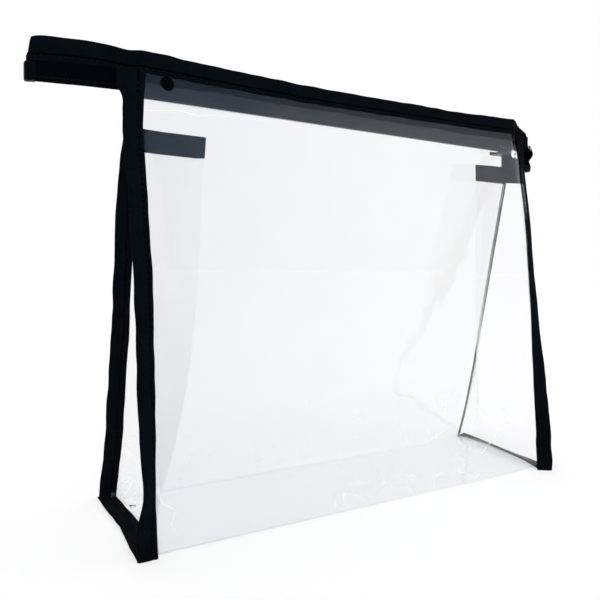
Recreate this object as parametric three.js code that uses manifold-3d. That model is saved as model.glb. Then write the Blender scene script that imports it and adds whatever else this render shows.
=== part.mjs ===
// Makeup bag: a clear PVC zip-top bag with pleated side gussets and black fabric binding.
//
// Frame: X runs along the width, the front faces -Y, +Z is up. The origin is the centre of
// the base's underside, where the bag stands. Lengths are in millimetres.

import * as THREE from 'three';
import { mergeVertices } from 'three/addons/utils/BufferGeometryUtils.js';
import Module from 'manifold-3d';

const wasm = await Module();
wasm.setup();
const { Manifold } = wasm;

// ---------------------------------------------------------------- driving dimensions

const bag = {
  width: 260,          // between the side seams
  depth: 80,           // base, front fold to back fold
  height: 240,         // floor to the top edge of the zip bindings
  foldRadius: 4,       // where the wrap turns up from the base
};
const pvc = 0.5;       // clear sheet thickness
const gap = 0.3;       // clearance between pieces that touch
const seamBow = { front: 6, back: 2 };   // how far the right seams bow outwards at mid height

const mouth = {
  half: 6,             // centre plane to each top edge, along the working length of the zip
  pinched: 2.1,        // the same at the tails
  straightTo: 128.5,     // where the top edges start to close in
  pinchedFrom: 137,
};

const sideBinding = { width: 10, thickness: 1.8, foot: 0.2 };
const topBinding = { width: 11.7, thickness: 1.4 };
const bindingFoot = bag.height - topBinding.width;

const gusset = {
  top: 203,            // height of the hemmed top edge
  hemWidth: 11,
  hemThickness: 0.8,
  creaseReach: 10,     // length of each leaf that bends round the crease
  inset: 1,            // gusset edge, inside the panel that it is sewn to
};

const zip = {
  level: 218.5,        // middle plane of the tape where it carries the coil
  tapeThickness: 0.6,
  tapeInner: 2.5,      // inner edge of each tape
  tapeSetIn: 0.2,      // the tape hangs this far inside the middle of its binding
  tapeBend: 3,         // where the tape turns in from upright to level
  coilHeight: 2.6,
  coilOuter: 1.6,      // outer side of each coil
  coilSpine: 0.7,      // width of the solid part beside the teeth
  toothPitch: 3,
  toothLength: 1.5,
  firstTooth: 0.4,     // from the end of the coil
  dividerGap: 1,       // space between the two coils, where the slider's divider runs
};

const hole = { diameter: 7, x: -117.7, z: 225.4 };   // punched through the front panel

// The zip and its bindings run past the side seams as tails. Lengths are along the straight zip.
const tail = {
  capLength: 5,
  capWall: 0.6,
  foldGap: 1.6,        // cut back from the right tail's crease on each side
};
const leftTail = { rootX: -139, hingeX: -143, endX: -181, foldAngle: 75 };
const rightTail = {
  endX: 167,
  crease: 376,         // the crease slopes at 45 degrees: x plus height is this along it
  foldRadius: 3.5,     // from the fold's axis to the centre plane of the strip on each side
};
const tailSlot = { near: 155, width: 7, low: 222.6, high: 233.6 };   // in the folded right tail

const slider = {
  x: 124,
  length: 11,
  halfWidth: 4.4,
  plate: 1.2,
  flange: 1.2,
  coilClear: 0.4,      // above and below the coils
  tapeClear: 0.35,     // above and below the tapes
  divider: { length: 2, halfWidth: 0.3 },
};
const bridge = { halfLength: 4, leg: 1.3, clearHeight: 2.2, top: 1.1, halfWidth: 1, sunk: 0.2 };
const puller = { length: 27, halfWidth: 3, thickness: 1.2, bar: 0.6, eyeEnd: 6.5, eyeHalfWidth: 1.6 };

// ---------------------------------------------------------------- materials

const finishes = {
  clearPvc: { color: 0xe9edf4, roughness: 0.08, metalness: 0, transparent: true, opacity: 0.35 },
  blackPvc: { color: 0x0d0f14, roughness: 0.2, metalness: 0 },
  blackFabric: { color: 0x0a0e14, roughness: 0.85, metalness: 0 },
  blackCoil: { color: 0x0c0d10, roughness: 0.45, metalness: 0 },
  blackMetal: { color: 0x15161a, roughness: 0.35, metalness: 0.8 },
};

const makeupBag = new THREE.Group();

function addPiece(name, geometry, finish) {
  const mesh = new THREE.Mesh(geometry, new THREE.MeshStandardMaterial(finishes[finish]));
  mesh.name = name;
  makeupBag.add(mesh);
  return mesh;
}

// ---------------------------------------------------------------- the bag's form

const clamp = (value, low, high) => Math.min(Math.max(value, low), high);
const smooth = (t) => t * t * (3 - 2 * t);
const mix = (a, b, t) => a + (b - a) * t;

// Evenly spaced numbers from a to b, both included.
function steps(a, b, count) {
  return Array.from({ length: count + 1 }, (_, i) => mix(a, b, i / count));
}

// Distance of the top edges from the centre plane.
function mouthHalf(x) {
  const t = (Math.abs(x) - mouth.straightTo) / (mouth.pinchedFrom - mouth.straightTo);
  return mix(mouth.half, mouth.pinched, smooth(clamp(t, 0, 1)));
}

// Distance of the front or back panel from the centre plane.
function panelHalf(x, z) {
  return mix(bag.depth / 2, mouthHalf(x), z / bag.height);
}

// Where a side seam runs. end is -1 for the left and 1 for the right, face is "front" or "back".
function seamX(end, face, z) {
  const bow = end > 0 ? seamBow[face] * Math.sin((Math.PI * z) / bag.height) : 0;
  return end * (bag.width / 2 + bow);
}

const faceSign = { front: -1, back: 1 };

// How far each panel stops short of its seams, where the bindings start.
const seamInset = { front: gap, back: 2 * gap };

// Where a sheet is at a share of its way across, from just inside the left seam to the right one.
function acrossPanel(face, share, z) {
  const inset = seamInset[face];
  return mix(seamX(-1, face, z) + inset, seamX(1, face, z) - inset, share);
}

// ---------------------------------------------------------------- solids from sheets

// A closed sheet of even thickness around a grid of points, rows by columns.
function sheetSolid(grid, thickness) {
  const rows = grid.length;
  const columns = grid[0].length;
  const normalAt = (r, c) => {
    const up = grid[Math.min(r + 1, rows - 1)][c].clone().sub(grid[Math.max(r - 1, 0)][c]);
    const along = grid[r][Math.min(c + 1, columns - 1)].clone().sub(grid[r][Math.max(c - 1, 0)]);
    return along.cross(up).normalize();
  };
  const points = [];
  for (const side of [0.5, -0.5]) {
    for (let r = 0; r < rows; r++) {
      for (let c = 0; c < columns; c++) {
        points.push(grid[r][c].clone().addScaledVector(normalAt(r, c), side * thickness));
      }
    }
  }
  const layer = rows * columns;
  const index = [];
  const quad = (a, b, c, d) => index.push(a, b, c, a, c, d);
  for (let r = 0; r + 1 < rows; r++) {
    for (let c = 0; c + 1 < columns; c++) {
      const a = r * columns + c;
      quad(a, a + 1, a + columns + 1, a + columns);
      quad(layer + a, layer + a + columns, layer + a + columns + 1, layer + a + 1);
    }
    const first = r * columns;
    const last = first + columns - 1;
    quad(first, first + columns, layer + first + columns, layer + first);
    quad(last, layer + last, layer + last + columns, last + columns);
  }
  for (let c = 0; c + 1 < columns; c++) {
    const top = (rows - 1) * columns + c;
    quad(c, layer + c, layer + c + 1, c + 1);
    quad(top, top + 1, layer + top + 1, layer + top);
  }
  const geometry = new THREE.BufferGeometry().setFromPoints(points);
  geometry.setIndex(facesOutwards(points, index) ? index : index.reverse());
  geometry.computeVertexNormals();
  return geometry;
}

// True where the triangles enclose a positive volume.
function facesOutwards(points, index) {
  let volume = 0;
  for (let i = 0; i < index.length; i += 3) {
    const [a, b, c] = [points[index[i]], points[index[i + 1]], points[index[i + 2]]];
    volume += a.dot(b.clone().cross(c));
  }
  return volume > 0;
}

function toManifold(geometry) {
  const bare = geometry.clone();
  bare.deleteAttribute('normal');
  bare.deleteAttribute('uv');
  const merged = mergeVertices(bare, 1e-4);
  return new Manifold(new wasm.Mesh({
    numProp: 3,
    vertProperties: new Float32Array(merged.attributes.position.array),
    triVerts: new Uint32Array(merged.index.array),
  }));
}

function fromManifold(solid) {
  const mesh = solid.getMesh();
  const geometry = new THREE.BufferGeometry();
  geometry.setAttribute('position', new THREE.BufferAttribute(mesh.vertProperties, 3));
  geometry.setIndex(new THREE.BufferAttribute(mesh.triVerts, 1));
  geometry.computeVertexNormals();
  return geometry;
}

// A block between two corners.
function block(low, high) {
  const size = high.map((value, i) => value - low[i]);
  return Manifold.cube(size).translate(low);
}

// Drills along Y.
function drill(geometry, x, z, diameter) {
  const bit = Manifold.cylinder(100, diameter / 2, diameter / 2, 24, true).rotate([90, 0, 0]);
  return fromManifold(toManifold(geometry).subtract(bit.translate([x, 0, z])));
}

// A tool that cuts a round-ended slot along Z through whatever lies before it along Y.
function slotCutter({ near, width, low, high }) {
  const radius = width / 2;
  const bit = Manifold.cylinder(40, radius, radius, 24, true).rotate([90, 0, 0]);
  const ends = [low + radius, high - radius].map((z) => bit.translate([near + radius, 0, z]));
  return Manifold.hull(ends);
}

// Keeps what lies inside an outline drawn in plan.
function trimInPlan(geometry, outline) {
  const keeper = Manifold.extrude([outline], bag.height * 2);
  return fromManifold(toManifold(geometry).intersect(keeper));
}

// ---------------------------------------------------------------- clear wrap: front, base and back

const panelFoot = bag.foldRadius + gap;
const panelShares = steps(0, 1, 26);

function panelGrid(face) {
  return steps(panelFoot, bindingFoot - gap, 10).map((z) =>
    panelShares.map((share) => {
      const x = acrossPanel(face, share, z);
      return new THREE.Vector3(x, faceSign[face] * panelHalf(x, z), z);
    }),
  );
}

const frontSheet = sheetSolid(panelGrid('front'), pvc);
addPiece('front_panel', drill(frontSheet, hole.x, hole.z, hole.diameter), 'clearPvc');
addPiece('back_panel', sheetSolid(panelGrid('back'), pvc), 'clearPvc');

// The base sheet lies on the floor and turns up along its front and back folds.
function basePanel() {
  const radius = bag.foldRadius - pvc / 2;
  const flatHalf = bag.depth / 2 - radius - pvc / 2;
  const fold = (side) => steps(0, 90, 5).map((degrees) => {
    const angle = THREE.MathUtils.degToRad(degrees);
    return [side * (flatHalf + radius * Math.cos(angle)), pvc / 2 + radius * (1 - Math.sin(angle))];
  });
  const section = [...fold(-1), ...fold(1).reverse()];
  const end = bag.width / 2 - gap;
  return sheetSolid(section.map(([y, z]) => [-end, end].map((x) => new THREE.Vector3(x, y, z))), pvc);
}

addPiece('base_panel', basePanel(), 'clearPvc');

// ---------------------------------------------------------------- pleated side gussets

// How far the crease stands in from the seams: each leaf keeps half the base's depth.
function creaseDepth(z) {
  const leaf = bag.depth / 2;
  const half = panelHalf(bag.width / 2, z);
  return Math.sqrt(Math.max(leaf * leaf - half * half, 0));
}

// The gusset in plan at one height: front leaf, rounded crease, back leaf.
function gussetPlan(end, z) {
  const edge = (face) => {
    const x = seamX(end, face, z) - end * gusset.inset;
    return new THREE.Vector3(x, faceSign[face] * (panelHalf(x, z) - gusset.inset), z);
  };
  const crease = new THREE.Vector3(end * (bag.width / 2 - creaseDepth(z) - gusset.inset), 0, z);
  const leafPoint = (from) => {
    const run = from.clone().sub(crease);
    return crease.clone().addScaledVector(run, Math.min(gusset.creaseReach / run.length(), 0.45));
  };
  const front = edge('front');
  const back = edge('back');
  const bend = new THREE.QuadraticBezierCurve3(leafPoint(front), crease, leafPoint(back));
  return [front, ...bend.getPoints(6), back];
}

function gussetGrid(end, low, high, count) {
  return steps(Math.sqrt(low), Math.sqrt(high), count).map((root) => gussetPlan(end, root * root));
}

const gussetFoot = pvc + 2 * gap;
const hemFoot = gusset.top - gusset.hemWidth;
for (const [name, end] of [['left', -1], ['right', 1]]) {
  const sheet = gussetGrid(end, gussetFoot + gusset.inset, hemFoot - gap, 14);
  addPiece(`${name}_gusset`, sheetSolid(sheet, pvc), 'clearPvc');
  const hem = gussetGrid(end, hemFoot, gusset.top, 2);
  addPiece(`${name}_gusset_hem`, sheetSolid(hem, gusset.hemThickness), 'blackPvc');
}

// ---------------------------------------------------------------- fabric binding on the side seams

// Which way each binding stands out from its seam, in degrees from straight outwards
// towards the back, at the base and at the top.
const bindingTurn = {
  left: { front: [0, 0], back: [35, 0] },
  right: { front: [-7, 26], back: [44, 52] },
};
const bindingTop = zip.level - zip.coilHeight / 2 - 2 * gap;

function seamBinding(name, end, face) {
  const [lowTurn, highTurn] = bindingTurn[name][face];
  const grid = steps(sideBinding.foot, bindingTop, 16).map((z) => {
    const turn = THREE.MathUtils.degToRad(mix(lowTurn, highTurn, z / bag.height));
    const out = new THREE.Vector3(end * Math.cos(turn), Math.sin(turn), 0);
    const x = seamX(end, face, z) + end * gap;
    const seam = new THREE.Vector3(x, faceSign[face] * panelHalf(x, z), z);
    return [seam, seam.clone().addScaledVector(out, sideBinding.width)];
  });
  return sheetSolid(grid, sideBinding.thickness);
}

function baseBinding(end) {
  const inner = bag.width / 2 + gap;
  const reach = bag.depth / 2 - sideBinding.thickness / 2 - 2 * gap;
  const xs = [end * inner, end * (inner + sideBinding.width)].sort((a, b) => a - b);
  return fromManifold(block([xs[0], -reach, 0], [xs[1], reach, sideBinding.thickness]));
}

for (const [name, end] of [['left', -1], ['right', 1]]) {
  for (const face of ['front', 'back']) {
    addPiece(`${name}_${face}_seam_binding`, seamBinding(name, end, face), 'blackFabric');
  }
  addPiece(`${name}_base_seam_binding`, baseBinding(end), 'blackFabric');
}

// ---------------------------------------------------------------- zip: top bindings, tapes and coils

function bindingStrip(face, xs) {
  const grid = steps(bindingFoot, bag.height, 2).map((z) =>
    xs.map((x) => new THREE.Vector3(x, faceSign[face] * mouthHalf(x), z)),
  );
  return sheetSolid(grid, topBinding.thickness);
}

// The tape hangs from its binding and turns in towards the coil.
function tapeSection(half) {
  const inner = Math.min(zip.tapeInner, half - zip.tapeSetIn);
  const bend = new THREE.QuadraticBezierCurve(
    new THREE.Vector2(half, zip.level + zip.tapeBend),
    new THREE.Vector2(half, zip.level),
    new THREE.Vector2(Math.max(half - zip.tapeBend, inner + zip.tapeSetIn / 4), zip.level),
  );
  const top = new THREE.Vector2(half, bindingFoot - gap);
  return [top, ...bend.getPoints(4), new THREE.Vector2(inner, zip.level)];
}

function tapeStrip(face, xs) {
  const sections = xs.map((x) => tapeSection(mouthHalf(x)).map(({ x: y, y: z }) =>
    new THREE.Vector3(x, faceSign[face] * y, z)));
  return sheetSolid(sections, zip.tapeThickness);
}

// Half of the chain: a spine beside the tape with a row of teeth towards the centre.
function coilStrip(face, from, to) {
  const sign = faceSign[face];
  const outer = sign * zip.coilOuter;
  const inner = sign * (zip.coilOuter - zip.coilSpine);
  const tip = (sign * zip.dividerGap) / 2;
  const outline = new THREE.Shape();
  outline.moveTo(from, outer);
  outline.lineTo(from, inner);
  for (let x = from + zip.firstTooth; x + zip.toothLength < to; x += zip.toothPitch) {
    outline.lineTo(x, inner);
    outline.lineTo(x, tip);
    outline.lineTo(x + zip.toothLength, tip);
    outline.lineTo(x + zip.toothLength, inner);
  }
  outline.lineTo(to, inner);
  outline.lineTo(to, outer);
  const geometry = new THREE.ExtrudeGeometry(outline, { depth: zip.coilHeight, bevelEnabled: false });
  geometry.translate(0, 0, zip.level - zip.coilHeight / 2);
  return geometry;
}

// Cuts a solid along a 45 degree slope. It keeps the side towards the bag, or the far side.
function cutAtCrease(solid, side) {
  const sum = rightTail.crease + (side === 'near' ? -1 : 1) * tail.foldGap;
  const sign = side === 'near' ? -1 : 1;
  return solid.trimByPlane([sign, 0, sign], (sign * sum) / Math.SQRT2);
}

const stripEnd = rightTail.crease - zip.level + zip.coilHeight;
const topStations = steps(leftTail.rootX, stripEnd, 80);
for (const face of ['front', 'back']) {
  const strips = [
    ['top_binding', bindingStrip(face, topStations), 'blackFabric'],
    ['zip_tape', tapeStrip(face, topStations), 'blackFabric'],
    ['zip_coil', coilStrip(face, leftTail.rootX, stripEnd), 'blackCoil'],
  ];
  for (const [name, strip, finish] of strips) {
    addPiece(`${face}_${name}`, fromManifold(cutAtCrease(toManifold(strip), 'near')), finish);
  }
}

// ---------------------------------------------------------------- zip slider and puller

// Two plates joined by a divider, with flanges that close in on the tapes, and a bridge on top.
const coilTop = zip.level + zip.coilHeight / 2 + slider.coilClear;
const coilBottom = zip.level - zip.coilHeight / 2 - slider.coilClear;
const roof = coilTop + slider.plate;
const sliderFoot = coilBottom - slider.plate;

function sliderBody() {
  const half = slider.length / 2;
  const wide = slider.halfWidth;
  const { length, halfWidth } = slider.divider;
  const tapeClear = zip.tapeThickness / 2 + slider.tapeClear;
  const parts = [
    block([-half, -wide, coilTop], [half, wide, roof]),
    block([-half, -wide, sliderFoot], [half, wide, coilBottom]),
    block([half - length, -halfWidth, sliderFoot], [half, halfWidth, roof]),
  ];
  for (const near of [-wide, wide - slider.flange]) {
    const far = near + slider.flange;
    parts.push(block([-half, near, zip.level + tapeClear], [half, far, roof]));
    parts.push(block([-half, near, sliderFoot], [half, far, zip.level - tapeClear]));
  }
  return fromManifold(Manifold.union([...parts, sliderBridge()]));
}

// The arch on the slider's roof that the puller hangs from.
function sliderBridge() {
  const { halfLength, leg, clearHeight, top, halfWidth, sunk } = bridge;
  const archTop = roof + clearHeight + top;
  const arch = block([-halfLength, -halfWidth, roof - sunk], [halfLength, halfWidth, archTop]);
  const eye = halfLength - leg;
  const past = halfWidth + 1;
  return arch.subtract(block([-eye, -past, roof], [eye, past, roof + clearHeight]));
}

// Height of the puller's bar in the middle of the bridge's opening.
const barHeight = roof + bridge.clearHeight / 2;

// A flat tag with an eye round the bridge's leg. Its bar is at the origin and it points to -X.
function pullerTag() {
  const outline = new THREE.Shape();
  const tip = -puller.length;
  outline.moveTo(puller.bar, -puller.halfWidth);
  outline.lineTo(puller.bar, puller.halfWidth);
  outline.lineTo(tip + puller.halfWidth, puller.halfWidth);
  outline.absarc(tip + puller.halfWidth, 0, puller.halfWidth, Math.PI / 2, (3 * Math.PI) / 2, false);
  const eye = new THREE.Path();
  eye.moveTo(-puller.bar, -puller.eyeHalfWidth);
  eye.lineTo(-puller.eyeEnd, -puller.eyeHalfWidth);
  eye.lineTo(-puller.eyeEnd, puller.eyeHalfWidth);
  eye.lineTo(-puller.bar, puller.eyeHalfWidth);
  outline.holes.push(eye);
  const geometry = new THREE.ExtrudeGeometry(outline, {
    depth: puller.thickness,
    bevelEnabled: false,
    curveSegments: 8,
  });
  return geometry.translate(0, 0, -puller.thickness / 2);
}

addPiece('zip_slider', sliderBody(), 'blackMetal').position.set(slider.x, 0, 0);
addPiece('zip_puller', pullerTag(), 'blackMetal').position.set(slider.x, 0, barHeight);

// ---------------------------------------------------------------- tails past the ends of the zip

// The pieces of one tail, laid out straight from one x to another, at the zip's own heights.
function tailPieces(rootX, endX) {
  const outwards = Math.sign(endX - rootX);
  const slab = (y, low, high, from = rootX, to = endX) => {
    const [x0, x1] = [from, to].sort((a, b) => a - b);
    const [y0, y1] = [...y].sort((a, b) => a - b);
    return block([x0, y0, low], [x1, y1, high]);
  };
  const tapeY = mouth.pinched - zip.tapeSetIn;
  const tapeInner = tapeY - zip.tapeThickness / 2;
  const tapeOuter = tapeY + zip.tapeThickness / 2;
  const bindingInner = mouth.pinched - topBinding.thickness / 2;
  const bindingOuter = mouth.pinched + topBinding.thickness / 2;
  const foot = zip.level - zip.coilHeight / 2;
  const pieces = [];
  for (const face of ['front', 'back']) {
    const sign = faceSign[face];
    const binding = slab([sign * bindingInner, sign * bindingOuter], bindingFoot, bag.height);
    const tape = slab([sign * tapeInner, sign * tapeOuter], foot, bindingFoot - gap);
    pieces.push([`${face}_binding`, binding, 'blackFabric']);
    pieces.push([`${face}_tape`, tape, 'blackFabric']);
  }
  const core = tapeInner - gap;
  pieces.push(['coil', slab([-core, core], foot, foot + zip.coilHeight), 'blackCoil']);
  const wall = gap + tail.capWall;
  const capStart = endX - outwards * tail.capLength;
  const capTop = bindingFoot - gap;
  const around = [-tapeOuter - wall, tapeOuter + wall];
  const shell = slab(around, foot - wall, capTop, capStart, endX + outwards * wall);
  const inside = [-tapeOuter - gap, tapeOuter + gap];
  const pocket = slab(inside, foot - gap, bag.height, capStart - outwards, endX + outwards * gap);
  pieces.push(['end_cap', shell.subtract(pocket), 'blackPvc']);
  return pieces;
}

// Plan of the room that the left tail may fill, so that it can fold each way at its root.
function foldWedge() {
  const half = mouth.half;
  const start = leftTail.hingeX - gap;
  const slope = half * Math.tan(THREE.MathUtils.degToRad(leftTail.foldAngle / 2));
  const end = leftTail.endX - tail.capLength;
  return [[start, 0], [start - slope, half], [end, half], [end, -half], [start - slope, -half]];
}

for (const [name, solid, finish] of tailPieces(leftTail.hingeX, leftTail.endX)) {
  addPiece(`left_tail_${name}`, trimInPlan(fromManifold(solid), foldWedge()), finish);
}

// The right tail turns over its crease and lies flat behind its own root.
function foldOver(geometry) {
  const axis = new THREE.Vector3(1, 0, -1).normalize();
  const { crease, foldRadius } = rightTail;
  const onAxis = new THREE.Vector3(crease - bag.height, foldRadius, bag.height);
  geometry.translate(-onAxis.x, -onAxis.y, -onAxis.z);
  geometry.applyMatrix4(new THREE.Matrix4().makeRotationAxis(axis, Math.PI));
  return geometry.translate(onAxis.x, onAxis.y, onAxis.z);
}

for (const [name, solid, finish] of tailPieces(bag.width / 2, rightTail.endX)) {
  const folded = cutAtCrease(solid, 'far').subtract(slotCutter(tailSlot));
  addPiece(`right_tail_${name}`, foldOver(fromManifold(folded)), finish);
}

export default makeupBag;
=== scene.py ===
"""Looks of a clear PVC makeup bag with black fabric binding, pleated gussets and a zip top."""

import math

import bmesh
import bpy
import numpy as np
from mathutils import Matrix, Vector, noise


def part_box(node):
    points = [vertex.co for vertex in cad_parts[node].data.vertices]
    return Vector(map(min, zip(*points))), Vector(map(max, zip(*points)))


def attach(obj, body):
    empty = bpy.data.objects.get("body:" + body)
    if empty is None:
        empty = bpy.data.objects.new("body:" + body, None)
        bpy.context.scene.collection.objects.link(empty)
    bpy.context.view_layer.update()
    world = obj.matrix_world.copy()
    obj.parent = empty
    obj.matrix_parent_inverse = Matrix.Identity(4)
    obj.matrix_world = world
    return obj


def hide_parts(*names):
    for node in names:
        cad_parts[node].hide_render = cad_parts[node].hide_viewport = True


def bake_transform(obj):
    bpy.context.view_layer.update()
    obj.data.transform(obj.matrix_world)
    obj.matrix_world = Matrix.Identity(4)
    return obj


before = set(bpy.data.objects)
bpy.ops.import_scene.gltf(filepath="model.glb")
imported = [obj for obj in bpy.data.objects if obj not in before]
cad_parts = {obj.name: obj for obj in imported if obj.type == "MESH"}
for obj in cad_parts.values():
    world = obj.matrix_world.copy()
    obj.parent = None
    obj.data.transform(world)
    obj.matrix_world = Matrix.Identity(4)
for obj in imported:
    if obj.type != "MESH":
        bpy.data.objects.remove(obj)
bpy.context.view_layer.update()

# ------------------------------------------------ sizes, in millimetres

MM = 0.001


def box_mm(node):
    low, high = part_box(node)
    return low / MM, high / MM


base_high = box_mm("base_panel")[1]
binding_low, binding_high = box_mm("front_top_binding")
hem_high = box_mm("left_gusset_hem")[1]
left_low = box_mm("left_tail_front_binding")[0]
coil_low, coil_high = box_mm("front_zip_coil")

GAP = 0.3                # between a sheet's edge and its binding
HALF_WIDTH = base_high.x + GAP
HALF_DEPTH = base_high.y
HEIGHT = binding_high.z
BINDING_FOOT = binding_low.z
BINDING_WIDTH = HEIGHT - BINDING_FOOT
ZIP_LEVEL = (coil_low.z + coil_high.z) / 2
LEFT_END = left_low.x
RIGHT_END = 169.5        # end of the zip strips, measured along them before they are folded
RIGHT_SPLIT = 136.5      # where they are cut in two, for the right tail
HEM_TOP = hem_high.z
HEM_WIDTH = 11.0
HEM_FOOT = HEM_TOP - HEM_WIDTH
FOLD_RADIUS = 4.0        # of the wrap's folds along the base
PVC = 0.5                # thickness of the clear sheets
SIDE_WIDTH = 10.0        # of the seam bindings
SEAM_LAP = 3.0           # how far the sheets run into the seam bindings
TOP_LAP = 4.0            # how far the wrap runs up inside the top bindings
MOUTH_HALF = 6.0         # from the middle plane to a top edge, along the mouth
TAIL_HALF = 2.1          # the same along the tails
MOUTH_STRAIGHT = 128.5   # the mouth starts to close in this far along x
MOUTH_PINCHED = 137.0    # and is as narrow as the tails from here
TUCK_FROM = 212.0        # above this height the sheets close in to meet their top bindings
PANEL_BULGE = 2.2        # how far a panel stands out in its middle
ARCH_RISE = 3.6          # how far the right end of the base is off the floor
ARCH_FROM = 92.0         # where along x it starts to lift
ARCH_LENGTH = 38.0


# ------------------------------------------------ small maths

def clamp(value, low=0.0, high=1.0):
    return min(max(value, low), high)


def smooth(t):
    t = clamp(t)
    return t * t * (3 - 2 * t)


def mix(a, b, t):
    return a + (b - a) * t


def steps(a, b, count):
    return [mix(a, b, i / count) for i in range(count + 1)]


def curve(stations, t):
    """A smooth line through (t, value) stations."""
    keys = [s[0] for s in stations]
    values = [s[1] for s in stations]
    if t <= keys[0]:
        return values[0]
    if t >= keys[-1]:
        return values[-1]
    i = max(j for j in range(len(keys) - 1) if keys[j] <= t)

    def slope(j):
        low, high = max(j - 1, 0), min(j + 1, len(keys) - 1)
        return (values[high] - values[low]) / (keys[high] - keys[low])

    span = keys[i + 1] - keys[i]
    u = (t - keys[i]) / span
    return (
        values[i] * (1 - 3 * u * u + 2 * u ** 3)
        + values[i + 1] * (3 * u * u - 2 * u ** 3)
        + slope(i) * span * (u - 2 * u * u + u ** 3)
        + slope(i + 1) * span * (u ** 3 - u * u)
    )


def wobble(seed, *at):
    """Gentle variation, between about -1 and 1, the same every time. Each use has its own seed."""
    point = Vector((at + (0.0, 0.0))[:3]) + Vector((seed * 7.31, seed * 3.17, seed * 5.03))
    return noise.noise(point) * 1.6


# ------------------------------------------------ the bag's form

# How far each seam lies from straight along x, as (height, offset). Ends are -1 left and 1 right.
SEAM_SHAPE = {
    (-1, "front"): [(0, -1.0), (12, -1.5), (30, -1.4), (58, -0.5), (95, 0.5), (119, 0.9),
                    (146, 0.7), (190, -0.5), (205, -0.6), (217, 0.5), (228, 1.7)],
    (1, "front"): [(0, -1.6), (15, -1.1), (57, 1.2), (95, 4.0), (114, 5.4), (141, 6.6),
                   (170, 7.6), (191, 6.6), (210, 4.8), (220, 3.4), (230, 0.9)],
    (-1, "back"): [(0, -3.0), (13, -2.0), (41, -0.6), (61, 0.1), (116, 1.6), (180, 2.2),
                   (205, 3.6), (228, 4.4)],
    (1, "back"): [(0, 4.0), (20, 6.6), (60, 8.6), (120, 9.6), (180, 10.6), (205, 10.4),
                  (228, 7.0)],
}
# Which way each seam's binding points out of it, as (height, degrees from the x axis).
SEAM_TURN = {
    (-1, "front"): [(0, 0), (9, -6), (20, -26), (30, -44), (42, -42), (58, -32), (75, -24),
                    (119, -18), (146, -14), (190, -8), (228, -4)],
    (-1, "back"): [(0, 33), (120, 30), (190, 42), (228, 58)],
    (1, "front"): [(0, -30), (8, -38), (20, -36), (34, -26), (53, -14), (74, -2), (95, 9),
                   (114, 15), (141, 22), (170, 24), (205, 22), (228, 12)],
    (1, "back"): [(0, 44), (205, 52), (228, 40)],
}
# Heights along the zip strips, as (x, height): the bindings' top and foot, and the tapes' foot.
TOP_LINE = [(-181, 237.6), (-179, 238.5), (-173, 239.5), (-164, 240.2), (-153, 240.8),
            (-140, 240.2), (-118, 239.3), (-80, 238.0), (-42, 237.2), (0, 237.2), (46, 237.8),
            (73, 237.8), (112, 239.3), (131, 240.1), (140, 240.4), (152, 242.6), (167, 241.6),
            (180, 241.0)]
FOOT_LINE = [(-181, 226.9), (-178, 227.2), (-162, 228.9), (-149, 229.5), (-131, 229.0),
             (-42, 227.4), (0, 227.6), (70, 228.6), (104, 229.0), (129, 229.7), (180, 229.7)]
TAPE_TAIL = [(135, 222.8), (148, 222.4), (154, 220.4), (158, 218.2), (161, 217.0), (164, 215.6),
             (167, 215.4), (170, 215.6), (180, 217.0)]
TAPE_LINE = {
    "front": [(-182, 218.6), (-178, 219.0), (-167, 219.6), (-154, 220.4), (-140, 220.6),
              (-129, 219.2), (-106, 219.2), (-78, 218.1), (-42, 217.8), (-6, 217.9),
              (32, 219.3), (71, 221.0), (118, 222.6)] + TAPE_TAIL,
    "back": [(-182, 218.8), (-178, 219.2), (-167, 219.8), (-154, 220.5), (-118, 221.6),
             (-73, 221.0), (-35, 220.6), (2, 220.6), (42, 221.6), (82, 222.6),
             (118, 223.0)] + TAPE_TAIL,
}
COIL_LIFT = 0.5


def mouth_half(x):
    t = (abs(x) - MOUTH_STRAIGHT) / (MOUTH_PINCHED - MOUTH_STRAIGHT)
    return mix(MOUTH_HALF, TAIL_HALF, smooth(t))


def face_sign(face):
    return -1 if face == "front" else 1


def seam_x(end, face, z):
    return end * HALF_WIDTH + curve(SEAM_SHAPE[end, face], z)


def panel_half(x, z):
    return mix(HALF_DEPTH, mouth_half(x), clamp(z / HEIGHT))


def base_arch(x, y):
    """The right end of the base stands a little off the floor between its corners."""
    across = max(1 - (y / HALF_DEPTH) ** 2, 0.0) ** 0.6
    return ARCH_RISE * across * smooth((x - ARCH_FROM) / ARCH_LENGTH)


def seam_out(end, face, z):
    turn = math.radians(curve(SEAM_TURN[end, face], z))
    return Vector((end * math.cos(turn), math.sin(turn), 0))


def seam_point(end, face, z):
    x = seam_x(end, face, z)
    return Vector((x, face_sign(face) * panel_half(x, z), z))


def panel_point(face, share, z):
    """A point of the front or back sheet. Shares under 0 or over 1 lie inside the bindings."""
    inside = clamp(share)
    x = mix(seam_x(-1, face, z), seam_x(1, face, z), inside)
    free = math.sin(math.pi * inside) ** 0.7 * math.sin(math.pi * clamp(z / HEIGHT)) ** 0.8
    seed = 2 if face == "front" else 5
    broad = wobble(seed, x / 70, z / 55) * 1.1
    fine = wobble(seed + 1, x / 26, z / 34) * 0.22
    tuck = smooth((z - TUCK_FROM) / (BINDING_FOOT - TUCK_FROM))
    flat = mix(panel_half(x, z) + (PANEL_BULGE + (broad + fine)) * free, mouth_half(x), tuck)
    y = face_sign(face) * flat
    point = Vector((x, y, z))
    if share != inside:
        end = -1 if share < 0 else 1
        point += seam_out(end, face, z) * SEAM_LAP
        point.y = face_sign(face) * mix(abs(point.y), mouth_half(point.x), tuck)
    return point


# ------------------------------------------------ mesh building

def run_lengths(points):
    """How far along a line of points each one lies."""
    return np.concatenate([[0], np.cumsum(np.linalg.norm(np.diff(points, axis=0), axis=1))])


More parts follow.
